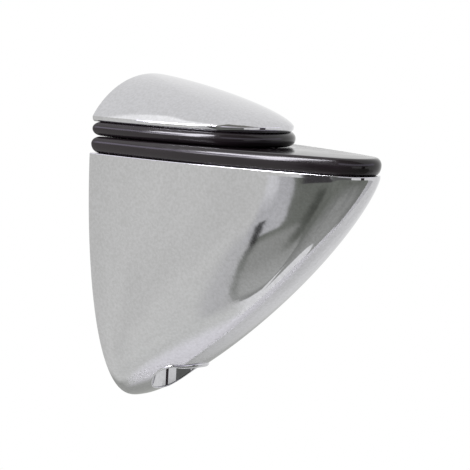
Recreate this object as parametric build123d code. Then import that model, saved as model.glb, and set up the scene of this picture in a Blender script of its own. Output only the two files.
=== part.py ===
from build123d import *
from math import atan2, cos, pi, sin, sqrt, tan
import os

# Clamping shelf support for a wall, in millimetres.
# The wall is the plane X = 0, the nose points along +X and +Z is up.
# The origin is on the wall, on the centre line, where the underside of the upper pad meets it.

# Lower jaw, the hollow shell that slides
BODY_WIDTH = 30.0
BODY_REACH = 54.7
BODY_LAND = 1.0
BODY_DEPTH = 45.0
BODY_NOSE_RADIUS = 5.6
SHELL_WALL = 2.2
DECK_THICKNESS = 2.0
RIM_BEVEL = 0.5
WALL_GAP = 0.2

# Curve of the back outline and of the keel, as superellipse exponents
BACK_DEPTH_POWER = 2.02
BACK_WIDTH_POWER = 2.66
KEEL_DEPTH_POWER = 1.27
KEEL_REACH_POWER = 1.20

# Upper jaw, the domed casting that is screwed to the wall
CAP_SIDE_INSET = 0.6
CAP_REACH = 32.4
CAP_NOSE_RADIUS = 10.0
CAP_HEIGHT = 8.7
CAP_LAND = 1.0
CAP_EDGE_BEVEL = 0.6
RIDGE_HEIGHT_POWER = 1.56
RIDGE_REACH_POWER = 1.13
PLATE_WIDTH = 16.0
PLATE_THICKNESS = 3.0
PLATE_CORNER = 3.0

# Rubber pads
PAD_THICKNESS = 2.5
PAD_BEVEL = 0.8
PAD_CORNER = 0.9
UPPER_PAD_OVERHANG = 0.4
LOWER_PAD_OVERHANG = 0.1
PAD_NOTCH_CLEARANCE = 0.3
CLOSED_GAP = 0.1

# Clamping screw, an M5 pan head
SCREW_REACH = 10.0
SCREW_RADIUS = 2.5
SCREW_LENGTH = 30.0
SCREW_TIP_CHAMFER = 0.8
HEAD_RADIUS = 4.2
HEAD_HEIGHT = 3.4
HEAD_BEVEL = 1.0
RECESS_WIDTH = 1.3
RECESS_SPAN = 5.0
RECESS_DEPTH = 2.0
THREAD_CLEARANCE = 0.05
SHANK_CLEARANCE = 0.1
SCREW_TIP_CLEARANCE = 0.5
HEAD_GAP = 0.05

# Inside the lower jaw: the screw's seat, its bore and the boss of the upper jaw between seat and deck
SEAT_THICKNESS = 3.0
BORE_RADIUS = 5.0
BOSS_RADIUS = 4.5
BOSS_HEIGHT = 8.0
BOSS_SEAT_CLEARANCE = 2.05
PLATE_END_CLEARANCE = 1.0
RIB_THICKNESS = 2.0
RIB_DEPTH = 6.0
GUIDE_CLEARANCE = 0.15

# Wall screws, two countersunk holes one above the other
WALL_HOLE_RADIUS = 2.1
WALL_HOLE_HEAD_RADIUS = 3.8
WALL_HOLE_SPACING = 9.0
WALL_HOLE_EDGE = 7.5

# Levels, worked out from the sizes above
LOWER_PAD_TOP = -CLOSED_GAP
RIM_LEVEL = LOWER_PAD_TOP - PAD_THICKNESS
LAND_LEVEL = RIM_LEVEL - BODY_LAND
BODY_BOTTOM = LAND_LEVEL - BODY_DEPTH
DECK_UNDERSIDE = RIM_LEVEL - DECK_THICKNESS
SCREW_TIP_LEVEL = DECK_UNDERSIDE - SCREW_TIP_CLEARANCE
HEAD_TOP_LEVEL = SCREW_TIP_LEVEL - SCREW_LENGTH
SEAT_UNDERSIDE = HEAD_TOP_LEVEL + HEAD_GAP
SEAT_TOP = SEAT_UNDERSIDE + SEAT_THICKNESS
BOSS_BOTTOM = SEAT_TOP + BOSS_SEAT_CLEARANCE
BOSS_TOP = BOSS_BOTTOM + BOSS_HEIGHT
PLATE_END = SEAT_TOP + PLATE_END_CLEARANCE
CAP_BASE = PAD_THICKNESS

# Plan outlines as width, reach and nose radius
BODY_PLAN = (BODY_WIDTH, BODY_REACH, BODY_NOSE_RADIUS)
CAP_PLAN = (BODY_WIDTH - 2 * CAP_SIDE_INSET, CAP_REACH, CAP_NOSE_RADIUS)

# How the doubly curved skins are divided into bands
BODY_BAND_COUNT = 18
HOLLOW_BAND_COUNT = 5
CAP_BAND_COUNT = 12
LAST_SECTION_SHARE = 0.9985
CUTTER_OVERRUN = 1.0


def flank_arc(plan):
    """Radius of a jaw's flank, the level of its centre and how far it turns to reach the nose."""
    width, reach, nose_radius = plan
    half = width / 2
    nose_centre = reach - nose_radius
    radius = (nose_centre**2 + half**2 - nose_radius**2) / (2 * (half - nose_radius))
    return radius, half - radius, atan2(nose_centre, radius - half)


def plan_point(plan, angle, side):
    """Point of a jaw's plan outline where it has turned by an angle from the wall's normal."""
    radius, centre, turn = flank_arc(plan)
    if angle <= turn:
        return radius * sin(angle), side * (centre + radius * cos(angle))
    nose_radius = plan[2]
    return plan[1] - nose_radius + nose_radius * sin(angle), side * nose_radius * cos(angle)


def plan_face(plan):
    """Flat face of a jaw's plan outline: two flanks that leave the wall square, and a nose arc."""
    turn = flank_arc(plan)[2]
    tip = (plan[1], 0)
    flanks = [
        ThreePointArc(*(plan_point(plan, share * turn, side) for share in (0, 0.5, 1)))
        for side in (-1, 1)
    ]
    nose = ThreePointArc(plan_point(plan, turn, -1), tip, plan_point(plan, turn, 1))
    back = Line(plan_point(plan, 0, -1), plan_point(plan, 0, 1))
    return make_face([*flanks, nose, back])


def arc_handles(plan, start, end, side, radius):
    """Ends and handles of the cubic curve that follows a plan outline's arc between two angles."""
    handle = 4 / 3 * tan((end - start) / 4) * radius
    first = plan_point(plan, start, side)
    last = plan_point(plan, end, side)
    lead = first[0] + handle * cos(start), first[1] - side * handle * sin(start)
    trail = last[0] - handle * cos(end), last[1] + side * handle * sin(end)
    return first, lead, trail, last


def level_outline(plan, width_share, reach_share, height):
    """Outline of a jaw at one height: its plan outline scaled each way, as a closed wire."""
    radius, _, turn = flank_arc(plan)
    arcs = [
        (0, turn, -1, radius),
        (turn, pi / 2, -1, plan[2]),
        (pi / 2, turn, 1, plan[2]),
        (turn, 0, 1, radius),
    ]
    runs = []
    for arc in arcs:
        points = [(x * reach_share, y * width_share, height) for x, y in arc_handles(plan, *arc)]
        runs.append(Bezier(*points))
    back = Line(runs[-1] @ 1, runs[0] @ 0)
    return Wire([*runs, back])


def body_width_share(depth):
    """Width of the lower jaw at a depth below its land, as a share of its full width."""
    return (1 - (depth / BODY_DEPTH) ** BACK_DEPTH_POWER) ** (1 / BACK_WIDTH_POWER)


def body_reach_share(depth):
    """Reach of the lower jaw at a depth below its land, as a share of its full reach."""
    return (1 - (depth / BODY_DEPTH) ** KEEL_DEPTH_POWER) ** (1 / KEEL_REACH_POWER)


def keel_slope(depth):
    """How fast the keel falls back towards the wall at a depth below the land."""
    share = depth / BODY_DEPTH
    fall = KEEL_DEPTH_POWER / KEEL_REACH_POWER * share ** (KEEL_DEPTH_POWER - 1)
    steepness = (1 - share**KEEL_DEPTH_POWER) ** (1 / KEEL_REACH_POWER - 1)
    return BODY_REACH / BODY_DEPTH * fall * steepness


def section_shares(band_count):
    """Shares of a height at which outlines are drawn, closer together towards both ends."""
    steps = [(1 - cos(pi * index / band_count)) / 2 for index in range(band_count)]
    return [*steps, LAST_SECTION_SHARE]


def banded_skin(plan, rim, bevel, direction, outlines):
    """Solid with a bevelled rim, an upright land and a skin of bands through the outlines beyond it."""
    width, reach, _ = plan
    lip = level_outline(plan, 1 - 2 * bevel / width, 1 - bevel / reach, rim)
    edge = level_outline(plan, 1, 1, rim + direction * bevel)
    return Solid.make_loft([lip, edge, *outlines], ruled=True)


def body_outer():
    """Outside of the lower jaw, from its rim down to the point at the wall."""
    outlines = []
    for share in section_shares(BODY_BAND_COUNT):
        depth = BODY_DEPTH * share
        shares = body_width_share(depth), body_reach_share(depth)
        outlines.append(level_outline(BODY_PLAN, *shares, LAND_LEVEL - depth))
    return banded_skin(BODY_PLAN, RIM_LEVEL, RIM_BEVEL, -1, outlines)


def body_hollow():
    """Space inside the shell, from under the deck down to the screw seat."""
    top = LAND_LEVEL - DECK_UNDERSIDE
    bottom = LAND_LEVEL - SEAT_TOP
    outlines = []
    for step in range(HOLLOW_BAND_COUNT + 1):
        depth = top + (bottom - top) * step / HOLLOW_BAND_COUNT
        keel_wall = SHELL_WALL * sqrt(1 + keel_slope(depth) ** 2)
        width_share = body_width_share(depth) - 2 * SHELL_WALL / BODY_WIDTH
        reach_share = body_reach_share(depth) - keel_wall / BODY_REACH
        outlines.append(level_outline(BODY_PLAN, width_share, reach_share, LAND_LEVEL - depth))
    return Solid.make_loft(outlines, ruled=True)


def block(low, high):
    """Box between two corners."""
    size = [b - a for a, b in zip(low, high)]
    centre = [(a + b) / 2 for a, b in zip(low, high)]
    return Pos(*centre) * Box(*size)


def rod(x, y, radius, bottom, top):
    """Upright cylinder between two heights."""
    return Pos(x, y, (bottom + top) / 2) * Cylinder(radius, top - bottom)


def plate_notch(bottom, top):
    """Cutter for the slot through which the back plate passes."""
    half = PLATE_WIDTH / 2 + PAD_NOTCH_CLEARANCE
    return block((-CUTTER_OVERRUN, -half, bottom), (PLATE_THICKNESS + PAD_NOTCH_CLEARANCE, half, top))


def wall_trim():
    """Cutter that holds the sliding pieces clear of the wall."""
    low = (-CUTTER_OVERRUN, -BODY_WIDTH, BODY_BOTTOM - CUTTER_OVERRUN)
    return block(low, (WALL_GAP, BODY_WIDTH, CAP_BASE))


def guide_ribs():
    """Upright ribs inside the shell that run along the edges of the back plate."""
    inner = PLATE_WIDTH / 2 + GUIDE_CLEARANCE
    ribs = []
    for side in (-1, 1):
        edges = sorted((side * inner, side * (inner + RIB_THICKNESS)))
        ribs.append(block((WALL_GAP, edges[0], SEAT_TOP), (RIB_DEPTH, edges[1], DECK_UNDERSIDE)))
    return ribs


def lower_jaw():
    outer = body_outer()
    shell = outer - body_hollow()
    for rib in guide_ribs():
        shell = shell + (rib & outer)
    mouth = BODY_BOTTOM - CUTTER_OVERRUN
    shell = shell - rod(SCREW_REACH, 0, BORE_RADIUS, mouth, SEAT_UNDERSIDE)
    shell = shell - rod(SCREW_REACH, 0, SCREW_RADIUS + SHANK_CLEARANCE, SEAT_UNDERSIDE, SEAT_TOP)
    return shell - plate_notch(DECK_UNDERSIDE, RIM_LEVEL) - wall_trim()


def cap():
    """Domed top of the upper jaw, whose ridge falls from the wall to the nose."""
    rise = CAP_HEIGHT - CAP_LAND
    half = CAP_PLAN[0] / 2
    crown_radius = (half**2 + rise**2) / (2 * rise)
    land_level = CAP_BASE + CAP_LAND
    outlines = []
    for share in section_shares(CAP_BAND_COUNT):
        above = crown_radius - rise * (1 - share)
        width_share = sqrt(crown_radius**2 - above**2) / half
        reach_share = (1 - share**RIDGE_HEIGHT_POWER) ** (1 / RIDGE_REACH_POWER)
        outlines.append(level_outline(CAP_PLAN, width_share, reach_share, land_level + rise * share))
    return banded_skin(CAP_PLAN, CAP_BASE, CAP_EDGE_BEVEL, 1, outlines)


def back_plate():
    half = PLATE_WIDTH / 2
    plate = block((0, -half, PLATE_END), (PLATE_THICKNESS, half, CAP_BASE + CAP_LAND))
    corners = plate.edges().filter_by(Axis.X).group_by(Axis.Z)[0]
    plate = fillet(corners, PLATE_CORNER)
    for step in (0, 1):
        height = -(WALL_HOLE_EDGE + step * WALL_HOLE_SPACING)
        turned = Pos(PLATE_THICKNESS, 0, height) * Rot(0, 90, 0)
        plate = plate - turned * CounterSinkHole(
            WALL_HOLE_RADIUS, WALL_HOLE_HEAD_RADIUS, 2 * PLATE_THICKNESS
        )
    return plate


def screw_boss():
    web = block((0, -BOSS_RADIUS, BOSS_BOTTOM), (SCREW_REACH, BOSS_RADIUS, BOSS_TOP))
    return web + rod(SCREW_REACH, 0, BOSS_RADIUS, BOSS_BOTTOM, BOSS_TOP)


def upper_jaw():
    thread = rod(SCREW_REACH, 0, SCREW_RADIUS + THREAD_CLEARANCE, BOSS_BOTTOM, BOSS_TOP)
    return cap() + back_plate() + screw_boss() - thread


def pad(plan, margin, bottom):
    """Flat pad with broken edges, a margin wider than a jaw, notched for the back plate."""
    width, reach, nose_radius = plan
    outline = plan_face((width + 2 * margin, reach + margin, nose_radius + margin))
    blank = extrude(outline.moved(Location((0, 0, bottom))), PAD_THICKNESS)
    corners = blank.edges().filter_by(Axis.Z).group_by(Axis.X)[0]
    blank = fillet(corners, PAD_CORNER)
    rims = blank.faces().filter_by(Axis.Z).edges()
    blank = chamfer(rims, PAD_BEVEL)
    return blank - plate_notch(bottom, bottom + PAD_THICKNESS)


def upper_pad():
    return pad(CAP_PLAN, UPPER_PAD_OVERHANG, 0)


def lower_pad():
    return pad(BODY_PLAN, LOWER_PAD_OVERHANG, RIM_LEVEL) - wall_trim()


def clamp_screw():
    head = rod(SCREW_REACH, 0, HEAD_RADIUS, HEAD_TOP_LEVEL - HEAD_HEIGHT, HEAD_TOP_LEVEL)
    head = chamfer(head.edges().group_by(Axis.Z)[0], HEAD_BEVEL)
    shank = rod(SCREW_REACH, 0, SCREW_RADIUS, HEAD_TOP_LEVEL, SCREW_TIP_LEVEL)
    shank = chamfer(shank.edges().group_by(Axis.Z)[-1], SCREW_TIP_CHAMFER)
    floor = HEAD_TOP_LEVEL - HEAD_HEIGHT
    for turn in (0, 90):
        slot = Box(RECESS_SPAN, RECESS_WIDTH, 2 * RECESS_DEPTH)
        head = head - Pos(SCREW_REACH, 0, floor) * Rot(0, 0, turn) * slot
    return head + shank


os.makedirs("parts", exist_ok=True)
export_step(upper_jaw(), "parts/upper_jaw.step")
export_step(upper_pad(), "parts/upper_pad.step")
export_step(lower_jaw(), "parts/lower_jaw.step")
export_step(lower_pad(), "parts/lower_pad.step")
export_step(clamp_screw(), "parts/clamp_screw.step")
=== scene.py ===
"""Clamping shelf support for a wall: two chrome jaws, two rubber pads and a clamping screw.

The wall is the plane X = 0, the nose points along +X and +Z is up. Lengths are metres.
"""

import logging
from contextlib import contextmanager
from dataclasses import dataclass
from enum import Enum
from math import asin, atan2, cos, hypot, pi, radians, sin, sqrt
from typing import Callable, Iterator, NamedTuple, Sequence

import bmesh
import bpy
from bpy.types import Material, Node, NodeSocket, NodeTree, Object
from mathutils import Matrix, Vector


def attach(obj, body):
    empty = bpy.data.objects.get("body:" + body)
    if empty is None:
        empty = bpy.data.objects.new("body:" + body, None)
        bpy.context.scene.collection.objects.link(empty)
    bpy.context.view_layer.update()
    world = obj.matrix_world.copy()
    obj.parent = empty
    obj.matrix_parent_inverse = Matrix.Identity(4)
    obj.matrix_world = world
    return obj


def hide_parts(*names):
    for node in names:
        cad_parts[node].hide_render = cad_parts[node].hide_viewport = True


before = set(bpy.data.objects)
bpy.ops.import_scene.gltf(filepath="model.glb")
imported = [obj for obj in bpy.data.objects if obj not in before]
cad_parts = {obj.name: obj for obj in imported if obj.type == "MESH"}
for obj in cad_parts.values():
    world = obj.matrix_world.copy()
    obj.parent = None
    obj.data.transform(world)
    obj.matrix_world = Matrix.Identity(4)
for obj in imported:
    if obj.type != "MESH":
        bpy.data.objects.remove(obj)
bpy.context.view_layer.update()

log = logging.getLogger("shelf_support")

MM = 0.001
WHITE = (1.0, 1.0, 1.0, 1.0)

# Sizes that several pieces share.
WALL_GAP = 0.2 * MM
SCREW_REACH = 10.0 * MM
NOTCH_WIDTH = 16.6 * MM
NOTCH_DEPTH = 3.3 * MM

# How far a cutter runs past what it cuts, the size of the plane that an outline starts from,
# and how near a vertex has to be to count as there.
OVERRUN = 1.0 * MM
SEED_SIZE = 2.0 * MM
SAME_PLACE = 1e-7
NEAR = 1e-6
NEAR_BACK = 2e-6

# A skin ends just short of its tip, where its outline would shrink to a point.
LAST_SHARE = 0.9997

# The values between which most of a noise texture lies, as the input of a map range.
NOISE_BAND = {"From Min": 0.3, "From Max": 0.7}
NOISE_CORE = {"From Min": 0.35, "From Max": 0.65}


class Level(NamedTuple):
    """One level of a skin: its height, and its shares of the plan's reach and width."""

    height: float
    reach: float
    width: float


class Body(Enum):
    """The bodies that move apart when the screw is turned."""

    WALL = "wall_part"
    SLIDING = "sliding_part"
    SCREW = "screw"


class Slot(Enum):
    """The record's material slots."""

    CHROME = "chrome_casting"
    RUBBER = "pad_rubber"
    STEEL = "screw_steel"


class Boolean(Enum):
    """How a closed tool works on a closed piece."""

    CUT = "DIFFERENCE"
    FUSE = "UNION"


def show_only(piece: Object) -> None:
    """Makes a piece the only selected object, and the active one.

    Args:
        piece: The object to select.
    """
    bpy.ops.object.select_all(action="DESELECT")
    piece.select_set(True)
    bpy.context.view_layer.objects.active = piece


@contextmanager
def editing(piece: Object) -> Iterator[None]:
    """Selects a piece alone, enters edit mode on it and leaves that mode at the end.

    Args:
        piece: The object to edit.

    Yields:
        Nothing, once the object is in edit mode.
    """
    show_only(piece)
    bpy.ops.object.mode_set(mode="EDIT")
    yield
    bpy.ops.object.mode_set(mode="OBJECT")


def pick(piece: Object, test: Callable[[Vector], bool]) -> None:
    """Selects the vertices of a piece in edit mode by their place.

    Args:
        piece: The object in edit mode.
        test: Says of a vertex's place whether it is wanted.
    """
    mesh = bmesh.from_edit_mesh(piece.data)
    for vertex in mesh.verts:
        vertex.select_set(test(vertex.co))
    mesh.select_mode = {"VERT"}
    mesh.select_flush_mode()
    bmesh.update_edit_mesh(piece.data)


def fill(piece: Object, test: Callable[[Vector], bool]) -> None:
    """Closes the gap between vertices of a piece in edit mode with an edge or a face.

    Args:
        piece: The object in edit mode.
        test: Says of a vertex's place whether it takes part.
    """
    pick(piece, test)
    bpy.ops.mesh.edge_face_add()


def bevel_picked(offset: float, segments: int) -> None:
    """Bevels the picked edges in edit mode.

    Args:
        offset: How far the bevel reaches from each edge.
        segments: How many steps it has.
    """
    bpy.ops.mesh.select_mode(type="EDGE")
    bpy.ops.mesh.bevel(offset=offset, segments=segments, affect="EDGES")
    bpy.ops.mesh.select_mode(type="VERT")


def stack(levels: Sequence[Level], middle: Sequence[float]) -> None:
    """Extrudes the outline in edit mode from level to level and scales it at each.

    Args:
        levels: The levels in order. The outline stands at the first, at full size.
        middle: The point that it is scaled about.
    """
    bpy.ops.mesh.select_all(action="SELECT")
    first = (levels[0].reach, levels[0].width, 1)
    bpy.ops.transform.resize(value=first, center_override=middle)
    for before, after in zip(levels, levels[1:]):
        move = {"value": (0, 0, after.height - before.height)}
        bpy.ops.mesh.extrude_edges_move(TRANSFORM_OT_translate=move)
        ratio = (after.reach / before.reach, after.width / before.width, 1)
        bpy.ops.transform.resize(value=ratio, center_override=middle)


def face_outwards() -> None:
    """Points all the faces of the mesh in edit mode outwards."""
    bpy.ops.mesh.select_all(action="SELECT")
    bpy.ops.mesh.normals_make_consistent(inside=False)


@contextmanager
def new_solid(name: str) -> Iterator[Object]:
    """Adds an empty mesh object to draw a solid in, and points its faces outwards at the end.

    Args:
        name: The object's name.

    Yields:
        The object, in edit mode, with nothing in it.
    """
    bpy.ops.object.select_all(action="DESELECT")
    bpy.ops.mesh.primitive_plane_add(size=SEED_SIZE)
    piece = bpy.context.object
    piece.name = name
    with editing(piece):
        bpy.ops.mesh.select_all(action="SELECT")
        bpy.ops.mesh.delete(type="VERT")
        yield piece
        face_outwards()


def apply(piece: Object, kind: str, **settings: object) -> None:
    """Adds a modifier to a piece and applies it.

    Args:
        piece: The object that the modifier shapes.
        kind: The modifier's type.
        settings: The modifier's settings by name.
    """
    show_only(piece)
    modifier = piece.modifiers.new(kind.lower(), kind)
    for name, value in settings.items():
        setattr(modifier, name, value)
    bpy.ops.object.modifier_apply(modifier=modifier.name)


def carve(piece: Object, tool: Object, boolean: Boolean = Boolean.CUT) -> None:
    """Cuts a closed tool out of a closed piece, or fuses it on, and removes the tool.

    Args:
        piece: The object that is kept.
        tool: The object that is used up.
        boolean: Whether the tool cuts or is fused on.
    """
    apply(piece, "BOOLEAN", object=tool, operation=boolean.value, solver="EXACT")
    bpy.data.objects.remove(tool)


def push_back(cutter: Object, amount: float) -> None:
    """Moves the flat back of a cutter past the wall plane, so that it cuts right through.

    Args:
        cutter: The cutter, whose back lies in the wall plane.
        amount: How far it goes.
    """
    with editing(cutter):
        pick(cutter, lambda place: place.x < NEAR_BACK)
        bpy.ops.transform.translate(value=(-amount, 0, 0))


def join(pieces: Sequence[Object]) -> Object:
    """Joins pieces into the first of them.

    Args:
        pieces: The objects to join.

    Returns:
        The first object, which now holds all the meshes.
    """
    show_only(pieces[0])
    for piece in pieces[1:]:
        piece.select_set(True)
    bpy.ops.object.join()
    return pieces[0]


def settle(piece: Object, sharp_angle: float = radians(32)) -> None:
    """Brings a piece's place into its mesh, points its faces outwards and smooths it.

    Args:
        piece: The finished object.
        sharp_angle: The angle above which an edge stays sharp.
    """
    show_only(piece)
    bpy.ops.object.transform_apply(location=True, rotation=True, scale=True)
    with editing(piece):
        bpy.ops.mesh.select_all(action="SELECT")
        bpy.ops.mesh.remove_doubles(threshold=NEAR)
        face_outwards()
    bpy.ops.object.shade_smooth_by_angle(angle=sharp_angle)


def block(low: Sequence[float], high: Sequence[float]) -> Object:
    """Adds a box between two corners.

    Args:
        low: The lowest corner.
        high: The highest corner.

    Returns:
        The box, with its place in its mesh.
    """
    centre = [(a + b) / 2 for a, b in zip(low, high)]
    size = [b - a for a, b in zip(low, high)]
    bpy.ops.mesh.primitive_cube_add(size=1, location=centre, scale=size)
    bpy.ops.object.transform_apply(location=True, rotation=True, scale=True)
    return bpy.context.object


def rod(x: float, radius: float, bottom: float, top: float, sides: int = 96) -> Object:
    """Adds an upright cylinder on the middle plane.

    Args:
        x: How far its axis stands from the wall.
        radius: Its radius.
        bottom: Its lower end.
        top: Its upper end.
        sides: How many sides it has.

    Returns:
        The cylinder, with its place in its mesh.
    """
    middle = (bottom + top) / 2
    bpy.ops.mesh.primitive_cylinder_add(
        vertices=sides, radius=radius, depth=top - bottom, location=(x, 0, middle)
    )
    bpy.ops.object.transform_apply(location=True, rotation=True, scale=True)
    return bpy.context.object


def rounding(inset: float, height: float, steps: int) -> list[tuple[float, float]]:
    """Steps of a quarter round, from its flat end to its upright end.

    Args:
        inset: How far the round reaches in over the flat.
        height: How far the round reaches up the side.
        steps: How many steps it has.

    Returns:
        Pairs of inset and distance from the flat.
    """
    turns = [pi / 2 * index / steps for index in range(steps + 1)]
    return [(inset * (1 - sin(turn)), height * (1 - cos(turn))) for turn in turns]


def eased_shares(count: int) -> list[float]:
    """Shares of the way along a skin, close together at both of its ends.

    Args:
        count: How many shares there are before the last.

    Returns:
        The shares, from 0 to the last share.
    """
    return [(1 - cos(pi * index / count)) / 2 for index in range(count)] + [LAST_SHARE]


@dataclass(frozen=True)
class PlanOutline:
    """A jaw or pad seen from above: two flank arcs that leave the wall square, and a nose arc.

    Args:
        width: Its width at the wall.
        reach: How far its nose stands from the wall.
        nose_radius: The radius of its nose.
        back: How far its back edge stands off the wall.
        corner_radius: The radius of its back corners, or 0 for none.
        flank_steps: How many steps each flank has.
        nose_steps: How many steps the nose has.
        corner_steps: How many steps each back corner has.
    """

    width: float
    reach: float
    nose_radius: float
    back: float = 0.0
    corner_radius: float = 0.0
    flank_steps: int = 44
    nose_steps: int = 40
    corner_steps: int = 8

    @property
    def flank_radius(self) -> float:
        """Radius of the flank arcs."""
        half = self.width / 2
        nose_centre = self.reach - self.nose_radius
        return (nose_centre**2 + half**2 - self.nose_radius**2) / (2 * (half - self.nose_radius))

    @property
    def turn(self) -> float:
        """How far each flank turns before it meets the nose."""
        return atan2(self.reach - self.nose_radius, self.flank_radius - self.width / 2)

    def trace(self, level: float) -> None:
        """Traces the outline in edit mode with spins, from the wall at -Y round to the wall at +Y.

        The object in edit mode gets the new vertices. With no window a spin turns the other way,
        so its axis points down.

        Args:
            level: The height of the outline.
        """
        offset = self.flank_radius - self.width / 2
        corner = self.corner_radius
        start_turn = asin((self.back + corner) / self.flank_radius)
        side = offset - self.flank_radius * cos(start_turn)
        flank = self.turn - start_turn
        down = (0, 0, -1)
        bpy.ops.mesh.primitive_plane_add(size=SEED_SIZE)
        bpy.ops.mesh.merge(type="CENTER")
        bpy.ops.transform.translate(value=(self.back, side + corner, level))
        if corner:
            centre = (self.back + corner, side + corner, level)
            bpy.ops.mesh.spin(steps=self.corner_steps, angle=pi / 2, center=centre, axis=down)
        bpy.ops.mesh.spin(steps=self.flank_steps, angle=flank, center=(0, offset, level), axis=down)
        nose = (self.reach - self.nose_radius, 0, level)
        bpy.ops.mesh.spin(steps=self.nose_steps, angle=pi - 2 * self.turn, center=nose, axis=down)
        bpy.ops.mesh.spin(steps=self.flank_steps, angle=flank, center=(0, -offset, level), axis=down)
        if corner:
            centre = (self.back + corner, -side - corner, level)
            bpy.ops.mesh.spin(steps=self.corner_steps, angle=pi / 2, center=centre, axis=down)

    def skin(self, name: str, levels: Sequence[Level]) -> Object:
        """Closed solid whose outline at each level is this one, scaled each way.

        Args:
            name: The object's name.
            levels: Its levels in order.

        Returns:
            The solid, in object mode.
        """
        with new_solid(name) as piece:
            self.trace(levels[0].height)
            stack(levels, (0, 0, 0))
            for height in (levels[0].height, levels[-1].height):
                fill(
                    piece,
                    lambda place: abs(place.z - height) < SAME_PLACE and abs(place.x) < SAME_PLACE,
                )
                fill(piece, lambda place: abs(place.z - height) < SAME_PLACE)
            fill(piece, lambda place: abs(place.x) < SAME_PLACE)
        return piece

    def rounded_edge(self, start: float, radius: float, direction: int, steps: int) -> list[Level]:
        """Levels of the round at the flat end of a skin.

        Args:
            start: The height of the flat end.
            radius: The radius of the round.
            direction: 1 where the skin goes up from its flat end, and -1 where it goes down.
            steps: How many steps the round has.

        Returns:
            The levels, from the flat end on.
        """
        return [
            Level(start + direction * rise, 1 - inset / self.reach, 1 - 2 * inset / self.width)
            for inset, rise in rounding(radius, radius, steps)
        ]

    def bullnosed(
        self, name: str, bottom: float, widest: float, top: float, nose_depth: float, steps: int
    ) -> Object:
        """Closed flat pad of this outline with a rounded edge all round.

        Args:
            name: The object's name.
            bottom: Its underside.
            widest: The height at which it is widest.
            top: Its top.
            nose_depth: How far its edge is rounded back.
            steps: How many steps each quarter of the edge has.

        Returns:
            The pad, in object mode.
        """
        lower = rounding(nose_depth, widest - bottom, steps)
        upper = rounding(nose_depth, top - widest, steps)
        loops = [(inset, bottom + rise) for inset, rise in lower]
        loops += [(inset, top - rise) for inset, rise in reversed(upper[:-1])]
        length = self.reach - self.back
        middle = (self.back + length / 2, 0, 0)
        levels = [
            Level(height, 1 - 2 * inset / length, 1 - 2 * inset / self.width)
            for inset, height in loops
        ]
        with new_solid(name) as piece:
            self.trace(bottom)
            fill(piece, lambda place: abs(place.x - self.back) < NEAR_BACK)
            stack(levels, middle)
            for height in (bottom, top):
                fill(piece, lambda place: abs(place.z - height) < SAME_PLACE)
        return piece


def linear(code: str) -> tuple[float, float, float, float]:
    """Turns an sRGB hex colour to linear.

    Args:
        code: The colour as #RRGGBB.

    Returns:
        Linear red, green, blue and an alpha of 1.
    """
    channels = [int(code[place : place + 2], 16) / 255 for place in (1, 3, 5)]
    parts = [c / 12.92 if c <= 0.04045 else ((c + 0.055) / 1.055) ** 2.4 for c in channels]
    return (*parts, 1.0)


def add_node(
    tree: NodeTree,
    kind: str,
    values: dict[str | int, object] | None = None,
    links: dict[str | int, NodeSocket] | None = None,
    **settings: object,
) -> Node:
    """Adds a node with its settings, socket values and links.

    Args:
        tree: The node tree.
        kind: The node's type.
        values: Socket values by socket name or number.
        links: Sockets that feed this node's sockets.
        settings: The node's own settings by name.

    Returns:
        The node.
    """
    node = tree.nodes.new(kind)
    for name, value in settings.items():
        setattr(node, name, value)
    for socket, value in (values or {}).items():
        node.inputs[socket].default_value = value
    for socket, source in (links or {}).items():
        tree.links.new(source, node.inputs[socket])
    return node


def new_material(name: str) -> tuple[Material, NodeTree]:
    """Makes a material whose node tree is empty.

    Args:
        name: The material's name.

    Returns:
        The material and its node tree.
    """
    material = bpy.data.materials.new(name)
    material.use_nodes = True
    material.node_tree.nodes.clear()
    return material, material.node_tree


@dataclass(frozen=True)
class Relief:
    """A fine relief that follows a noise.

    Args:
        bump_mm: The size of one bump in millimetres.
        detail: How many finer layers the noise has.
        roughness: How strong the finer layers are.
        height: The height of the bumps.
        strength: How much of the relief shows.
    """

    bump_mm: float
    detail: float
    roughness: float
    height: float
    strength: float = 1.0

    def add(
        self, tree: NodeTree, place: NodeSocket, under: NodeSocket | None = None
    ) -> tuple[NodeSocket, NodeSocket]:
        """Adds the nodes of the relief.

        Args:
            tree: The material's node tree.
            place: The coordinates that it lies on.
            under: The normal of the relief that it lies on, if there is one.

        Returns:
            The noise and the normal.
        """
        noise = add_node(
            tree,
            "ShaderNodeTexNoise",
            {"Scale": 1 / (self.bump_mm * MM), "Detail": self.detail, "Roughness": self.roughness},
            {"Vector": place},
        )
        values = {"Strength": self.strength, "Distance": self.height}
        links = {"Height": noise.outputs["Fac"]}
        if under is not None:
            links["Normal"] = under
        bump = add_node(tree, "ShaderNodeBump", values, links)
        return noise.outputs["Fac"], bump.outputs["Normal"]


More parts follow.
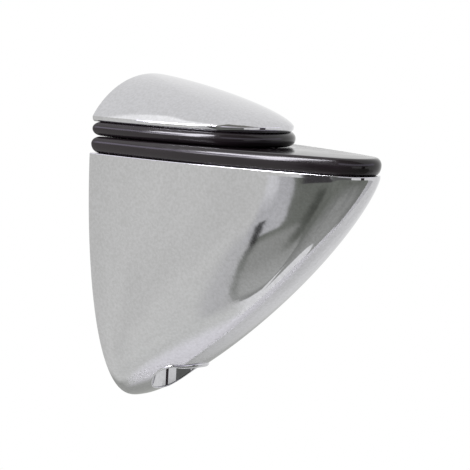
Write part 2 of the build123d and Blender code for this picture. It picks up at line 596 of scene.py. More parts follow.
def add_surface(
    tree: NodeTree,
    colours: tuple[str, str],
    mottle: NodeSocket,
    roughness: tuple[float, float],
    wear: NodeSocket,
    normal: NodeSocket,
    values: dict[str | int, object],
) -> None:
    """Adds the nodes that turn patterns into a surface with its colour, gloss and relief.

    Args:
        tree: The material's node tree.
        colours: The two colours between which it turns.
        mottle: The pattern that its colour follows.
        roughness: Its roughness at its smoothest and at its dullest.
        wear: The pattern that its roughness follows.
        normal: Its relief.
        values: The shader's other values by socket name.
    """
    colour = add_node(
        tree,
        "ShaderNodeMix",
        {"A": linear(colours[0]), "B": linear(colours[1])},
        {"Factor": mottle},
        data_type="RGBA",
    )
    dulling = add_node(
        tree,
        "ShaderNodeMapRange",
        {**NOISE_BAND, "To Min": roughness[0], "To Max": roughness[1]},
        {"Value": wear},
    )
    links = {
        "Base Color": colour.outputs["Result"],
        "Roughness": dulling.outputs["Result"],
        "Normal": normal,
    }
    surface = add_node(tree, "ShaderNodeBsdfPrincipled", values, links)
    add_node(tree, "ShaderNodeOutputMaterial", links={"Surface": surface.outputs["BSDF"]})


@dataclass(frozen=True)
class ChromePlate:
    """Bright chrome on a polished zinc die casting.

    It mirrors the room, a little softened, and a faint orange peel from the polishing bends
    the reflections. The grain is drawn coarser than the real one so that it shows.
    The roughness is given at its smoothest and at its dullest.
    """

    name: str = "chrome_plated_zinc_polished"
    colour: str = "#CBCBCE"
    haze_colour: str = "#C0C0C2"
    roughness: tuple[float, float] = (0.0425, 0.06)
    peel: Relief = Relief(2.4, 2.0, 0.45, 0.0000035)
    grain: Relief = Relief(0.5, 3.0, 0.6, 0.0000003)

    def build(self) -> Material:
        """Makes the material.

        Returns:
            The material.
        """
        material, tree = new_material(self.name)
        place = add_node(tree, "ShaderNodeTexCoord").outputs["Object"]
        peel, peel_normal = self.peel.add(tree, place)
        grain, normal = self.grain.add(tree, place, peel_normal)
        shade = add_node(
            tree,
            "ShaderNodeMapRange",
            {**NOISE_CORE, "To Min": 0.0, "To Max": 1.0},
            {"Value": grain},
        )
        colours = (self.colour, self.haze_colour)
        shine = {"Metallic": 1.0}
        add_surface(tree, colours, shade.outputs[0], self.roughness, peel, normal, shine)
        return material


@dataclass(frozen=True)
class MouldedRubber:
    """Black elastomer moulded in a polished tool.

    Its skin is nearly black and glossy with a faint violet cast, and slight flow ripples from
    the moulding break the streaks of light along its edge.
    """

    name: str = "black_rubber_moulded"
    colour: str = "#0E0A0C"
    flow_colour: str = "#161114"
    roughness: tuple[float, float] = (0.104, 0.169)
    refraction: float = 1.42
    ripple: Relief = Relief(1.4, 3.0, 0.5, 0.00001)
    ripple_stretch: tuple[float, float, float] = (0.35, 0.35, 1.6)

    def build(self) -> Material:
        """Makes the material.

        Returns:
            The material.
        """
        material, tree = new_material(self.name)
        place = add_node(tree, "ShaderNodeTexCoord").outputs["Object"]
        stretch = add_node(
            tree, "ShaderNodeMapping", {"Scale": self.ripple_stretch}, {"Vector": place}
        )
        ripple, normal = self.ripple.add(tree, stretch.outputs["Vector"])
        colours = (self.colour, self.flow_colour)
        shine = {"IOR": self.refraction}
        add_surface(tree, colours, ripple, self.roughness, ripple, normal, shine)
        return material


@dataclass(frozen=True)
class ZincPlatedSteel:
    """Cold headed steel with a bright zinc coat.

    It is duller than chrome, a little blue, and the coat clouds its shine in small patches.
    """

    name: str = "zinc_plated_steel_headed"
    colour: str = "#B4B8BE"
    cloud_colour: str = "#9EA3AB"
    roughness: tuple[float, float] = (0.224, 0.364)
    cloud: Relief = Relief(1.1, 4.0, 0.55, 0.000004, 0.6)

    def build(self) -> Material:
        """Makes the material.

        Returns:
            The material.
        """
        material, tree = new_material(self.name)
        place = add_node(tree, "ShaderNodeTexCoord").outputs["Object"]
        cloud, normal = self.cloud.add(tree, place)
        colours = (self.colour, self.cloud_colour)
        shine = {"Metallic": 1.0}
        add_surface(tree, colours, cloud, self.roughness, cloud, normal, shine)
        return material


def dress(piece: Object, material: Material, body: Body) -> None:
    """Gives a finished piece its material and the body that it rides on.

    Args:
        piece: The finished object.
        material: Its finish.
        body: The body that carries it.
    """
    piece.data.materials.clear()
    piece.data.materials.append(material)
    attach(piece, body.value)
    log.info("%s rides on %s, %d faces", piece.name, body.value, len(piece.data.polygons))


@dataclass(frozen=True)
class LowerJaw:
    """The hollow casting that slides: an ogive shell with a keel, a deck, a screw seat and ribs.

    Heights count from the plane in which the pads meet, and reaches from the wall. The powers
    say how late its back narrows and its keel runs back on the way down, and how round both end.
    The lip's offset and how far it lies sunk are shares of its radius.
    """

    plan: PlanOutline = PlanOutline(30.0 * MM, 54.7 * MM, 5.6 * MM)
    rim: float = -3.1 * MM
    land: float = 0.5 * MM
    depth: float = 45.0 * MM
    rim_radius: float = 0.1 * MM
    wall: float = 2.2 * MM
    wall_gap: float = WALL_GAP
    deck: float = 1.5 * MM
    back_depth_power: float = 2.02
    back_width_power: float = 2.66
    keel_depth_power: float = 1.27
    keel_reach_power: float = 1.20
    seat_top: float = -32.05 * MM
    seat_underside: float = -35.05 * MM
    bore_reach: float = SCREW_REACH
    bore_radius: float = 5.0 * MM
    bore_sides: int = 128
    shank_radius: float = 2.6 * MM
    notch_width: float = NOTCH_WIDTH
    notch_depth: float = NOTCH_DEPTH
    rib_inner: float = 8.15 * MM
    rib_thickness: float = 2.0 * MM
    rib_depth: float = 6.0 * MM
    rib_recess: float = 0.05 * MM
    lip_radius_nose: float = 0.6 * MM
    lip_radius_wall: float = 0.16 * MM
    lip_power: int = 3
    lip_offset: float = 0.05
    lip_sunk: float = 0.3
    lip_steps_round: int = 144
    lip_steps_section: int = 20
    lip_sharp_angle: float = radians(60)
    search_end: float = 0.9999
    search_steps: int = 48
    rim_steps: int = 5
    band_count: int = 84
    hollow_count: int = 24

    @property
    def land_level(self) -> float:
        """Height at which the flanks start to curve."""
        return self.rim - self.land

    def shares(self, depth: float) -> tuple[float, float]:
        """Reach and width of the shell at a depth below its land.

        Args:
            depth: The depth.

        Returns:
            Reach share and width share of the plan.
        """
        part = depth / self.depth
        reach = (1 - part**self.keel_depth_power) ** (1 / self.keel_reach_power)
        width = (1 - part**self.back_depth_power) ** (1 / self.back_width_power)
        return reach, width

    def keel_slope(self, depth: float) -> float:
        """How fast the keel falls back towards the wall at a depth below the land.

        Args:
            depth: The depth.

        Returns:
            Reach lost for each unit of depth.
        """
        step = self.depth / 10000
        return (self.shares(depth)[0] - self.shares(depth + step)[0]) * self.plan.reach / step

    def outer_levels(self) -> list[Level]:
        """Levels of the outside.

        Returns:
            The levels, from the rounded rim to the tip at the wall.
        """
        levels = self.plan.rounded_edge(self.rim, self.rim_radius, -1, self.rim_steps)
        for share in eased_shares(self.band_count):
            depth = self.depth * share
            levels.append(Level(self.land_level - depth, *self.shares(depth)))
        return levels

    def inner_levels(self) -> list[Level]:
        """Levels of the hollow.

        Returns:
            The levels, from under the deck to the screw's seat.
        """
        top = self.rim - self.deck
        levels = []
        for index in range(self.hollow_count + 1):
            height = top + (self.seat_top - top) * index / self.hollow_count
            depth = self.land_level - height
            reach, width = self.shares(depth)
            keel_wall = self.wall * hypot(1, self.keel_slope(depth))
            reach -= keel_wall / self.plan.reach
            width -= 2 * self.wall / self.plan.width
            levels.append(Level(height, reach, width))
        return levels

    def skin_height(self, x: float, y: float) -> float:
        """Height of the underside of the shell over a point of the plan, found by halving.

        Args:
            x: Distance from the wall.
            y: Distance from the centre line.

        Returns:
            The height at which the outside passes through the point.
        """
        high, low = 0.0, self.depth * self.search_end
        for _ in range(self.search_steps):
            depth = (high + low) / 2
            reach, width = self.shares(depth)
            if self.holds(x / reach, y / width):
                high = depth
            else:
                low = depth
        return self.land_level - high

    def holds(self, x: float, y: float) -> bool:
        """Whether the plan outline holds a point.

        Args:
            x: Distance from the wall.
            y: Distance from the centre line.

        Returns:
            True inside the outline.
        """
        nose_centre = self.plan.reach - self.plan.nose_radius
        offset = self.plan.flank_radius - self.plan.width / 2
        if atan2(x, abs(y) + offset) > self.plan.turn:
            return hypot(x - nose_centre, y) < self.plan.nose_radius
        return hypot(x, abs(y) + offset) < self.plan.flank_radius

    def shell(self) -> Object:
        """Models the casting from its outside, its hollow and its cuts.

        Returns:
            The casting.
        """
        shell = self.plan.skin("lower_jaw_casting", self.outer_levels())
        hollow = self.plan.skin("hollow", self.inner_levels())
        push_back(hollow, OVERRUN)
        carve(shell, hollow)
        floor = self.land_level - self.depth - 2 * OVERRUN
        seat = (self.seat_underside - OVERRUN, self.seat_top + OVERRUN)
        bore = (floor, self.seat_underside)
        carve(shell, rod(self.bore_reach, self.bore_radius, *bore, self.bore_sides))
        carve(shell, rod(self.bore_reach, self.shank_radius, *seat))
        half, width = self.notch_width / 2, self.plan.width
        above = self.rim + OVERRUN
        under_deck = self.rim - self.deck - OVERRUN
        carve(shell, block((-OVERRUN, -half, under_deck), (self.notch_depth, half, above)))
        carve(shell, block((-OVERRUN, -width, floor), (self.wall_gap, width, above)))
        return join([shell, *self.ribs()])

    def ribs(self) -> list[Object]:
        """Models the ribs that guide the casting along the back plate.

        Returns:
            The two ribs, which run from inside the seat to inside the deck.
        """
        ribs = []
        for side in (-1, 1):
            edges = (side * self.rib_inner, side * (self.rib_inner + self.rib_thickness))
            low = (self.wall_gap + self.rib_recess, min(edges), self.seat_top - OVERRUN)
            high = (self.rib_depth, max(edges), self.rim - self.deck + OVERRUN / 2)
            ribs.append(block(low, high))
        return ribs

    def lip(self) -> Object:
        """Models the polished lip round the edge where the bore breaks out of the keel.

        Its section grows from the wall's side, where the edge is only broken, to the nose's side,
        where the thin wedge of metal ends in a full round.

        Returns:
            The lip.
        """
        section = 0.5
        bpy.ops.object.select_all(action="DESELECT")
        bpy.ops.mesh.primitive_torus_add(
            major_segments=self.lip_steps_round,
            minor_segments=self.lip_steps_section,
            major_radius=1.0,
            minor_radius=section,
        )
        bead = bpy.context.object
        bead.name = "bore_lip"
        for vertex in bead.data.vertices:
            turn = atan2(vertex.co.y, vertex.co.x)
            share = ((1 + cos(turn)) / 2) ** self.lip_power
            radius = self.lip_radius_wall + (self.lip_radius_nose - self.lip_radius_wall) * share
            ring = self.bore_radius + radius * self.lip_offset
            x = self.bore_reach + ring * cos(turn)
            y = ring * sin(turn)
            outwards = (hypot(vertex.co.x, vertex.co.y) - 1.0) / section * radius
            upwards = vertex.co.z / section * radius
            vertex.co.x = x + outwards * cos(turn)
            vertex.co.y = y + outwards * sin(turn)
            vertex.co.z = self.skin_height(x, y) + self.lip_sunk * radius + upwards
        return bead

    def build(self, chrome: Material) -> None:
        """Models and dresses the casting and its lip.

        Args:
            chrome: The finish.
        """
        shell = self.shell()
        settle(shell)
        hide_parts("lower_jaw")
        dress(shell, chrome, Body.SLIDING)
        bead = self.lip()
        settle(bead, self.lip_sharp_angle)
        dress(bead, chrome, Body.SLIDING)


@dataclass(frozen=True)
class UpperJaw:
    """The domed casting that is screwed to the wall, with its back plate and the screw's boss.

    The powers say how flat its ridge leaves the wall, and how steeply it ends at the nose.
    """

    plan: PlanOutline = PlanOutline(28.8 * MM, 32.4 * MM, 10.0 * MM)
    base: float = 2.5 * MM
    land: float = 1.0 * MM
    height: float = 8.7 * MM
    edge_radius: float = 0.7 * MM
    ridge_height_power: float = 1.56
    ridge_reach_power: float = 1.13
    plate_width: float = 16.0 * MM
    plate_thickness: float = 3.0 * MM
    plate_corner: float = 3.0 * MM
    plate_end: float = -31.05 * MM
    hole_levels: tuple[float, float] = (-7.5 * MM, -16.5 * MM)
    hole_radius: float = 2.1 * MM
    hole_head_radius: float = 3.8 * MM
    boss_reach: float = SCREW_REACH
    boss_radius: float = 4.5 * MM
    boss_bottom: float = -30.0 * MM
    boss_top: float = -22.0 * MM
    thread_radius: float = 2.55 * MM
    edge_steps: int = 7
    band_count: int = 72

    def levels(self) -> list[Level]:
        """Levels of the dome.

        Returns:
            The levels, from its rounded lower edge to its crest at the wall.
        """
        levels = self.plan.rounded_edge(self.base, self.edge_radius, 1, self.edge_steps)
        rise = self.height - self.land
        half = self.plan.width / 2
        crown = (half**2 + rise**2) / (2 * rise)
        for share in eased_shares(self.band_count):
            above = crown - rise * (1 - share)
            width = sqrt(crown**2 - above**2) / half
            reach = (1 - share**self.ridge_height_power) ** (1 / self.ridge_reach_power)
            levels.append(Level(self.base + self.land + rise * share, reach, width))
        return levels

    def plate(self) -> Object:
        """Models the back plate with its rounded lower corners and countersunk holes.

        Returns:
            The plate.
        """
        half = self.plate_width / 2
        plate = block((0, -half, self.plate_end), (self.plate_thickness, half, self.base))
        with editing(plate):
            bpy.ops.mesh.select_mode(type="EDGE")
            bpy.ops.mesh.select_all(action="DESELECT")
            mesh = bmesh.from_edit_mesh(plate.data)
            for edge in mesh.edges:
                ends = [vertex.co for vertex in edge.verts]
                is_low = all(end.z < self.plate_end + NEAR for end in ends)
                edge.select_set(is_low and abs(ends[0].y - ends[1].y) < NEAR)
            bmesh.update_edit_mesh(plate.data)
            bevel_picked(self.plate_corner, segments=12)
        for level in self.hole_levels:
            carve(plate, self.hole_cutter(level))
        return plate

    def hole_cutter(self, level: float) -> Object:
        """Models the cutter for a countersunk hole: a cylinder whose front end widens.

        Args:
            level: The height of the hole.

        Returns:
            The cutter.
        """
        flare = self.hole_head_radius - self.hole_radius
        start = self.plate_thickness - flare
        bpy.ops.mesh.primitive_cylinder_add(
            vertices=64,
            radius=self.hole_radius,
            depth=start + OVERRUN,
            location=((start - OVERRUN) / 2, 0, level),
            rotation=(0, pi / 2, 0),
        )
        cutter = bpy.context.object
        bpy.ops.object.transform_apply(location=True, rotation=True, scale=True)
        share = (self.hole_head_radius + OVERRUN) / self.hole_radius
        with editing(cutter):
            pick(cutter, lambda place: place.x > start - NEAR)
            move = {"value": (flare + OVERRUN, 0, 0)}
            bpy.ops.mesh.extrude_region_move(TRANSFORM_OT_translate=move)
            bpy.ops.transform.resize(value=(1, share, share), center_override=(0, 0, level))
        return cutter

    def boss(self) -> Object:
        """Models the web and the threaded boss that the clamping screw turns in.

        Returns:
            The boss.
        """
        low = (self.plate_thickness / 2, -self.boss_radius, self.boss_bottom)
        boss = block(low, (self.boss_reach, self.boss_radius, self.boss_top))
        round_end = rod(self.boss_reach, self.boss_radius, self.boss_bottom, self.boss_top)
        carve(boss, round_end, Boolean.FUSE)
        hole = (self.boss_bottom - OVERRUN, self.boss_top + OVERRUN)
        carve(boss, rod(self.boss_reach, self.thread_radius, *hole))
        return boss

    def build(self, chrome: Material) -> None:
        """Models and dresses the casting.

        Args:
            chrome: The finish.
        """
        dome = self.plan.skin("upper_jaw_casting", self.levels())
        casting = join([dome, self.plate(), self.boss()])
        settle(casting)
        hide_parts("upper_jaw")
        dress(casting, chrome, Body.WALL)


@dataclass(frozen=True)
class Pad:
    """A rubber pad with a full bullnose edge, notched at its back for the plate.

    It stands for a node of the solids. It is widest at a height between its bottom and its top.
    """

    name: str
    node: str
    body: Body
    plan: PlanOutline
    bottom: float
    widest: float
    top: float
    nose_depth: float = 1.2 * MM
    edge_steps: int = 9
    sharp_angle: float = radians(50)
    notch_width: float = NOTCH_WIDTH
    notch_depth: float = NOTCH_DEPTH

    def build(self, rubber: Material) -> None:
        """Models and dresses the pad.

        Args:
            rubber: The finish.
        """
        levels = (self.bottom, self.widest, self.top)
        pad = self.plan.bullnosed(self.name, *levels, self.nose_depth, self.edge_steps)
        half = self.notch_width / 2
        low = (-OVERRUN, -half, self.bottom - OVERRUN)
        carve(pad, block(low, (self.notch_depth, half, self.top + OVERRUN)))
        settle(pad, self.sharp_angle)
        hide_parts(self.node)
        dress(pad, rubber, self.body)


@dataclass(frozen=True)
class ClampScrew:
    """The pan head screw with a cross recess that draws the lower jaw up.

    The thread takes a share of the pitch at the core, and the crest keeps a share of that. Each
    slot of the recess keeps a share of its size at its floor.
    """

    reach: float = SCREW_REACH
    head_top: float = -35.1 * MM
    head_height: float = 3.4 * MM
    head_radius: float = 4.2 * MM
    head_rounding: float = 1.4 * MM
    head_sides: int = 64
    tip: float = -5.1 * MM
    tip_chamfer: float = 0.5 * MM
    shank_overlap: float = 0.2 * MM
    thread_radius: float = 2.5 * MM
    core_radius: float = 2.06 * MM
    core_overlap: float = 0.1 * MM
    pitch: float = 0.8 * MM
    thread_share: float = 0.92
    crest_share: float = 0.16
    thread_steps: int = 28
    recess_span: float = 5.0 * MM
    recess_width: float = 1.2 * MM
    recess_depth: float = 2.0 * MM
    recess_taper: float = 0.55
    sharp_angle: float = radians(38)

    def head(self) -> Object:
        """Models the head with its rounded edge and cross recess.

        Returns:
            The head.
        """
        bottom = self.head_top - self.head_height
        head = rod(self.reach, self.head_radius, bottom, self.head_top, self.head_sides)
        with editing(head):
            pick(head, lambda place: place.z < bottom + NEAR)
            bevel_picked(self.head_rounding, segments=8)
        span, width = self.recess_span / 2, self.recess_width / 2
        taper = (self.recess_taper, self.recess_taper, 1)
        for x, y in ((span, width), (width, span)):
            low = (self.reach - x, -y, bottom - OVERRUN)
            slot = block(low, (self.reach + x, y, bottom + self.recess_depth))
            with editing(slot):
                pick(slot, lambda place: place.z > bottom)
                bpy.ops.transform.resize(value=taper, center_override=(self.reach, 0, bottom))
            carve(head, slot)
        return head

    def thread(self) -> Object:
        """Models the threaded shank as one profile that climbs round the axis.

        Returns:
            The shank.
        """
        bottom = self.head_top - self.shank_overlap
        turns = int((self.tip - bottom) / self.pitch) - 1
        core = rod(self.reach, self.core_radius, bottom, self.tip, sides=48)
        with editing(core):
            pick(core, lambda place: place.z > self.tip - NEAR)
            bevel_picked(self.tip_chamfer, segments=2)
        size = self.pitch * self.thread_share
        bpy.ops.mesh.primitive_plane_add(size=size, location=(0, 0, 0), rotation=(pi / 2, 0, 0))
        ridge = bpy.context.object
        bpy.ops.object.transform_apply(location=True, rotation=True, scale=True)
        for vertex in ridge.data.vertices:
            outer = vertex.co.x > 0
            vertex.co.x = self.thread_radius if outer else self.core_radius - self.core_overlap
            vertex.co.z = vertex.co.z * (self.crest_share if outer else 1.0)
        apply(
            ridge,
            "SCREW",
            axis="Z",
            screw_offset=self.pitch,
            iterations=turns,
            steps=self.thread_steps,
            render_steps=self.thread_steps,
            use_merge_vertices=False,
        )
        ridge.data.transform(Matrix.Translation((self.reach, 0, bottom + self.pitch)))
        with editing(ridge):
            bpy.ops.mesh.select_all(action="SELECT")
            bpy.ops.mesh.fill_holes(sides=4)
        return join([core, ridge])

    def build(self, steel: Material) -> None:
        """Models and dresses the screw.

        Args:
            steel: The finish.
        """
        screw = join([self.head(), self.thread()])
        screw.name = "clamp_screw_turned"
        settle(screw, self.sharp_angle)
        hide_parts("clamp_screw")
        dress(screw, steel, Body.SCREW)


@dataclass(frozen=True)
class Window:
    """A patch of the sky round the object, between two azimuths and two elevations.

    Azimuth 0 is along -Y and 90 degrees is along +X. The side edges may lean.

    Args:
        left: Azimuth of the left edge at the bottom and at the top, in degrees.
        right: Azimuth of the right edge at the bottom and at the top, in degrees.
        low: Elevation of the lower edge, in degrees.
        high: Elevation of the upper edge, in degrees.
    """

    left: tuple[float, float]
    right: tuple[float, float]
    low: float
    high: float

    def direction(self, across: float, along: float) -> Vector:
        """Direction of a point of the patch.

        Args:
            across: Share of the way from its left edge to its right.
            along: Share of the way from its lower edge to its upper.

        Returns:
            The unit vector towards the point.
        """
        edges = [side[0] + (side[1] - side[0]) * along for side in (self.left, self.right)]
        azimuth = radians(edges[0] + (edges[1] - edges[0]) * across)
        elevation = radians(self.low + (self.high - self.low) * along)
        level = cos(elevation)
        return Vector((sin(azimuth) * level, -cos(azimuth) * level, sin(elevation)))

    def spans(self) -> tuple[float, float]:
        """Size of the patch.

        Returns:
            Its width half way up and its height, in degrees.
        """
        return (sum(self.right) - sum(self.left)) / 2, self.high - self.low


@dataclass(frozen=True)
class Cloth:
    """A cloth that is lit from behind and that only reflections see.

    Args:
        name: Its name.
        window: The patch of the sky that it fills.
        distance: How far it hangs from the object.
        low_colour: Its colour at its lower edge.
        high_colour: Its colour from its turn level upwards.
        turn_level: Share of its height over which the colour turns.
        strength: How brightly it glows.
        fold_depth: How much darker its folds are.
        feather: Degrees over which its sides, and its upper and lower edges, fade out.
    """

    name: str
    window: Window
    distance: float
    low_colour: str
    high_colour: str
    turn_level: float = 1.0
    strength: float = 1.0
    fold_depth: float = 0.08
    feather: tuple[float, float] = (0.4, 0.4)


# The tent. Its opening is what darkens the chrome near the nose, and its glows light the pads.
TENT = (
    Cloth(
        "opening_below", Window((-7.3, -10.4), (144, 120), -62, -12), 0.90, "#AEAFAC", "#878A83",
        turn_level=0.6, fold_depth=0.2, feather=(0.3, 0.8),
    ),
    Cloth(
        "opening_foot", Window((10, 6), (134, 144), -74, -55), 0.905, "#B8B9B6", "#A8A9A5",
        feather=(6, 1.0),
    ),
    Cloth(
        "opening_glow", Window((-7.5, -8.4), (5, -2), -61, -34), 0.88, "#CDCECB", "#B1B2AE",
        turn_level=0.8, feather=(0.6, 4),
    ),
    Cloth(
        "opening_fold", Window((-3.4, -1.4), (-0.2, 1.6), -47, -20), 0.87, "#80837C", "#5C5F59",
        turn_level=0.6, feather=(1.2, 6),
    ),
    Cloth(
        "sill_left", Window((-4.6, -3.6), (3, 3), -19, 3), 0.86, "#4E4C4E", "#4A484A",
        feather=(1.0, 1.0),
    ),
    Cloth(
        "sill", Window((2, 2), (59, 59), -18, 3), 0.87, "#70716F", "#6A6B69",
        feather=(1.0, 2.0),
    ),
    Cloth(
        "opening_above", Window((-7, -5), (118, 85), 3, 78), 0.90, "#A6A5A0", "#8C8B84",
    ),
    Cloth(
        "opening_hem", Window((-7.9, -9.2), (-6.7, -7.9), -60, -36), 0.86, "#A4A6A1", "#868983",
        feather=(0.3, 1.5),
    ),
    Cloth(
        "crease", Window((-8.7, -9.4), (-7.3, -8.0), -39.5, -28.5), 0.83, "#8A8C87", "#1A1B19",
        turn_level=0.45, feather=(0.25, 0.8),
    ),
    Cloth(
        "flap_left", Window((-10.5, -10.7), (-8.1, -7.9), -27, -9), 0.84, "#E0E0E2", "#FCFCFE",
        turn_level=0.5, feather=(0.5, 3),
    ),
    Cloth(
        "flap_right", Window((-10.3, -10.3), (-4.7, -5.5), -34.5, -11), 0.845, "#DFDFE1", "#D5D5D7",
        feather=(0.35, 1.2),
    ),
    Cloth(
        "stand", Window((91, 91), (104, 104), -15, 3), 0.86, "#3A3437", "#3A3437",
    ),
    Cloth(
        "side_shade", Window((-15, -14), (-5, -6), -66, -26), 0.93, "#DEDEDE", "#E2E2E2",
        feather=(4, 9),
    ),
    Cloth(
        "side_wall", Window((-110, -98), (-5, -5), -78, 14), 0.95, "#F6F7F4", "#F1F1EE",
        turn_level=0.6, feather=(2, 12),
    ),
    Cloth(
        "back_wall", Window((-164, -160), (-62, -68), -76, -10), 0.935, "#BEBFBB", "#BABBB7",
        feather=(24, 14),
    ),
    Cloth(
        "wall_cloth", Window((150, 150), (214, 214), -72, -10), 0.98, "#EEEEEE", "#FFFFFF",
        feather=(6, 8),
    ),
    Cloth(
        "soft_box_wide", Window((-65, -63), (-14, -16), 33, 59), 0.88, "#FFFFFF", "#FFFFFF",
        strength=1.5, feather=(6, 4),
    ),
    Cloth(
        "glow_left", Window((-56, -56), (-10, -10), 8, 25), 0.87, "#EDE6FF", "#EDE6FF",
        strength=3.6, feather=(6, 4),
    ),
    Cloth(
        "glow_right", Window((8, 8), (150, 150), 9, 31), 0.87, "#F0EAFF", "#F0EAFF",
        strength=2.0, feather=(8, 5),
    ),
    Cloth(
        "floor_bright", Window((-9, -9), (120, 130), -89, -60), 0.94, "#FFFFFF", "#FFFFFF",
        strength=1.1, fold_depth=0.0, feather=(3, 2),
    ),
)


@dataclass(frozen=True)
class Studio:
    """A white tent with a grey opening on the camera's side, a soft box and a pale floor.

    The cloths hang round its middle, and the soft box faces it.
    """

    middle: Vector = Vector((0.022, 0.0, -0.018))
    floor_level: float = -1.0
    floor_size: float = 4.0
    floor_colour: str = "#E6E6E6"
    floor_glow: float = 0.1
    fill_strength: float = 0.55
    card_steps: int = 48
    fold_stretch: tuple[float, float, float] = (5.0, 5.0, 1.1)
    lamp_azimuth: float = -15.0
    lamp_elevation: float = 26.0
    lamp_distance: float = 1.0
    lamp_size: tuple[float, float] = (0.42, 0.72)
    lamp_power: float = 26.0
    lamp_colour: str = "#F6F3FC"

    def white_rays(self, tree: NodeTree) -> NodeSocket:
        """Adds the nodes that tell the rays that see the white background.

        Args:
            tree: The node tree.

        Returns:
            A socket that is 1 for camera, glossy and transmission rays.
        """
        ray = add_node(tree, "ShaderNodeLightPath")
        seen = add_node(
            tree,
            "ShaderNodeMath",
            links={0: ray.outputs["Is Camera Ray"], 1: ray.outputs["Is Glossy Ray"]},
            operation="MAXIMUM",
        )
        white = add_node(
            tree,
            "ShaderNodeMath",
            links={0: seen.outputs[0], 1: ray.outputs["Is Transmission Ray"]},
            operation="MAXIMUM",
        )
        return white.outputs[0]

    def world(self) -> None:
        """Sets the room: white where the camera or a reflection sees it, and a soft fill light."""
        world = bpy.data.worlds.new("tent")
        bpy.context.scene.world = world
        world.use_nodes = True
        tree = world.node_tree
        tree.nodes.clear()
        dim = {"Color": WHITE, "Strength": self.fill_strength}
        fill_light = add_node(tree, "ShaderNodeBackground", dim)
        white = add_node(tree, "ShaderNodeBackground", {"Color": WHITE, "Strength": 1.0})
        mix = add_node(
            tree,
            "ShaderNodeMixShader",
            links={0: self.white_rays(tree), 1: fill_light.outputs[0], 2: white.outputs[0]},
        )
        add_node(tree, "ShaderNodeOutputWorld", links={"Surface": mix.outputs[0]})

    def floor(self) -> None:
        """Adds the pale floor: it keeps shadows, and a little glow lifts it to white when seen."""
        bpy.ops.mesh.primitive_plane_add(size=self.floor_size, location=(0, 0, self.floor_level))
        floor = bpy.context.object
        floor.name = "tent_floor"
        material, tree = new_material("tent_floor_cloth")
        cloth = add_node(tree, "ShaderNodeBsdfDiffuse", {"Color": linear(self.floor_colour)})
        level = add_node(
            tree,
            "ShaderNodeMath",
            {1: self.floor_glow},
            {0: self.white_rays(tree)},
            operation="MULTIPLY",
        )
        strength = {"Strength": level.outputs[0]}
        glow = add_node(tree, "ShaderNodeEmission", {"Color": WHITE}, strength)
        both = add_node(tree, "ShaderNodeAddShader", links={0: cloth.outputs[0], 1: glow.outputs[0]})
        add_node(tree, "ShaderNodeOutputMaterial", links={"Surface": both.outputs[0]})
        floor.data.materials.append(material)

    def hang(self, cloth: Cloth) -> None:
        """Hangs a cloth of the tent.

        Args:
            cloth: The cloth.
        """
        steps = self.card_steps
        bpy.ops.mesh.primitive_grid_add(x_subdivisions=steps, y_subdivisions=steps, size=2)
        card = bpy.context.object
        card.name = cloth.name
        for vertex in card.data.vertices:
            across, along = (vertex.co.x + 1) / 2, (vertex.co.y + 1) / 2
            vertex.co = self.middle + cloth.window.direction(across, along) * cloth.distance
        card.visible_camera = False
        card.visible_diffuse = False
        card.visible_shadow = False
        card.data.materials.append(self.cloth_material(cloth))

    def cloth_material(self, cloth: Cloth) -> Material:
        """Makes the glow of a cloth of the tent.

        Args:
            cloth: The cloth.

        Returns:
            The material.
        """
        material, tree = new_material(cloth.name + "_lit")
        texture = add_node(tree, "ShaderNodeTexCoord")
        upright = add_node(
            tree,
            "ShaderNodeMapping",
            {"Scale": self.fold_stretch},
            {"Vector": texture.outputs["Object"]},
        )
        folds = add_node(
            tree,
            "ShaderNodeTexNoise",
            {"Scale": 1.0, "Detail": 2.0, "Roughness": 0.5},
            {"Vector": upright.outputs["Vector"]},
        )
        in_folds = cloth.strength * (1 - cloth.fold_depth)
        light = add_node(
            tree,
            "ShaderNodeMapRange",
            {**NOISE_CORE, "To Min": in_folds, "To Max": cloth.strength},
            {"Value": folds.outputs["Fac"]},
        )
        spread = add_node(tree, "ShaderNodeSeparateXYZ", links={"Vector": texture.outputs["UV"]})
        turn = add_node(
            tree,
            "ShaderNodeMapRange",
            {"From Max": cloth.turn_level},
            {"Value": spread.outputs["Y"]},
            interpolation_type="SMOOTHSTEP",
        )
        colour = add_node(
            tree,
            "ShaderNodeMix",
            {"A": linear(cloth.low_colour), "B": linear(cloth.high_colour)},
            {"Factor": turn.outputs["Result"]},
            data_type="RGBA",
        )
        glow = add_node(
            tree,
            "ShaderNodeEmission",
            links={"Color": colour.outputs["Result"], "Strength": light.outputs["Result"]},
        )
        across, along = cloth.window.spans()
        covers = [
            self.edge_cover(tree, spread.outputs["X"], cloth.feather[0] / across),
            self.edge_cover(tree, spread.outputs["Y"], cloth.feather[1] / along),
        ]
        cover = add_node(
            tree, "ShaderNodeMath", links={0: covers[0], 1: covers[1]}, operation="MULTIPLY"
        )
        clear = add_node(tree, "ShaderNodeBsdfTransparent")
        surface = add_node(
            tree,
            "ShaderNodeMixShader",
            links={0: cover.outputs[0], 1: clear.outputs[0], 2: glow.outputs[0]},
        )
        add_node(tree, "ShaderNodeOutputMaterial", links={"Surface": surface.outputs[0]})
        return material

    def edge_cover(self, tree: NodeTree, share: NodeSocket, feather: float) -> NodeSocket:
        """Adds the nodes that fade a cloth out towards two opposite edges.

        Args:
            tree: The node tree.
            share: The share of the way from one edge to the other.
            feather: The share over which it fades.

        Returns:
            The cover, from 0 at the edges to 1 inside.
        """
        other = add_node(tree, "ShaderNodeMath", {0: 1.0}, {1: share}, operation="SUBTRACT")
        both = {0: share, 1: other.outputs[0]}
        nearer = add_node(tree, "ShaderNodeMath", links=both, operation="MINIMUM")
        cover = add_node(
            tree,
            "ShaderNodeMapRange",
            {"From Max": feather},
            {"Value": nearer.outputs[0]},
            interpolation_type="SMOOTHSTEP",
        )
        return cover.outputs["Result"]

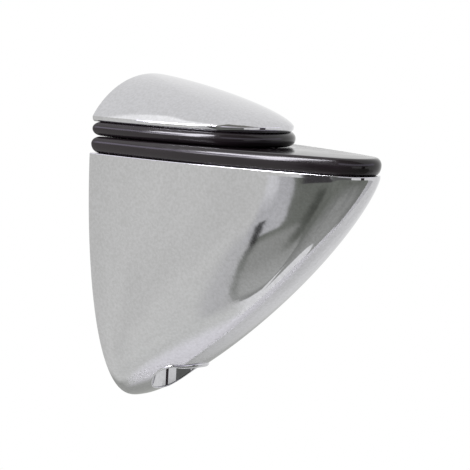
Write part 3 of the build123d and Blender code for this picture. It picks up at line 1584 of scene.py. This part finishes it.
    def lamp(self) -> None:
        """Adds the soft box, which faces the object."""
        side = (self.lamp_azimuth, self.lamp_azimuth)
        spot = Window(side, side, self.lamp_elevation, self.lamp_elevation).direction(0, 0)
        data = bpy.data.lights.new("soft_box", "AREA")
        data.shape = "RECTANGLE"
        data.size, data.size_y = self.lamp_size
        data.energy = self.lamp_power
        data.color = linear(self.lamp_colour)[:3]
        lamp = bpy.data.objects.new("soft_box", data)
        bpy.context.scene.collection.objects.link(lamp)
        lamp.location = self.middle + spot * self.lamp_distance
        lamp.rotation_euler = (-spot).to_track_quat("-Z", "Y").to_euler()

    def build(self) -> None:
        """Sets up the whole room."""
        self.world()
        self.floor()
        for cloth in TENT:
            self.hang(cloth)
        self.lamp()


@dataclass(frozen=True)
class Camera:
    """The camera at the angle from which the object is seen.

    Its place comes from the fit of the jaws' outlines: azimuth and elevation of the line back to
    it, its roll about that line, its distance from the point that it looks at, and how far that
    point lies to the right of the origin and over it.
    """

    azimuth: float = radians(45.085)
    elevation: float = radians(6.274)
    roll: float = radians(2.466)
    distance: float = 396.62 * MM
    aim_right: float = 16.219 * MM
    aim_up: float = -17.915 * MM
    lens_mm: float = 164.85
    sensor_mm: float = 36.0
    near: float = 0.01

    def build(self) -> None:
        """Adds the camera and makes it the scene's."""
        back = Vector(
            (
                sin(self.azimuth) * cos(self.elevation),
                -cos(self.azimuth) * cos(self.elevation),
                sin(self.elevation),
            )
        )
        right = Vector((cos(self.azimuth), sin(self.azimuth), 0))
        up = back.cross(right)
        target = right * self.aim_right + up * self.aim_up
        turned_right = right * cos(self.roll) + up * sin(self.roll)
        turned_up = up * cos(self.roll) - right * sin(self.roll)
        data = bpy.data.cameras.new("camera")
        data.lens = self.lens_mm
        data.sensor_width = self.sensor_mm
        data.clip_start = self.near
        camera = bpy.data.objects.new("camera", data)
        bpy.context.scene.collection.objects.link(camera)
        axes = Matrix((turned_right, turned_up, back)).transposed().to_4x4()
        camera.matrix_world = Matrix.Translation(target + back * self.distance) @ axes
        bpy.context.scene.camera = camera


def main() -> None:
    """Builds the pieces in order, then the room and the camera."""
    logging.basicConfig(level=logging.INFO, format="%(name)s: %(message)s")
    bpy.context.scene.view_settings.view_transform = "Standard"
    bpy.ops.object.select_all(action="DESELECT")
    chrome = ChromePlate().build()
    rubber = MouldedRubber().build()
    steel = ZincPlatedSteel().build()
    UpperJaw().build(chrome)
    LowerJaw().build(chrome)
    Pad(
        name="upper_pad_moulding",
        node="upper_pad",
        body=Body.WALL,
        plan=PlanOutline(29.6 * MM, 32.8 * MM, 10.4 * MM, corner_radius=0.75 * MM),
        bottom=0.0,
        widest=1.3 * MM,
        top=UpperJaw.base,
    ).build(rubber)
    Pad(
        name="lower_pad_moulding",
        node="lower_pad",
        body=Body.SLIDING,
        plan=PlanOutline(30.3 * MM, 54.8 * MM, 5.7 * MM, back=WALL_GAP, corner_radius=0.75 * MM),
        bottom=LowerJaw.rim,
        widest=-1.4 * MM,
        top=-0.1 * MM,
    ).build(rubber)
    ClampScrew().build(steel)
    Studio().build()
    Camera().build()


if __name__ == "__main__":
    main()
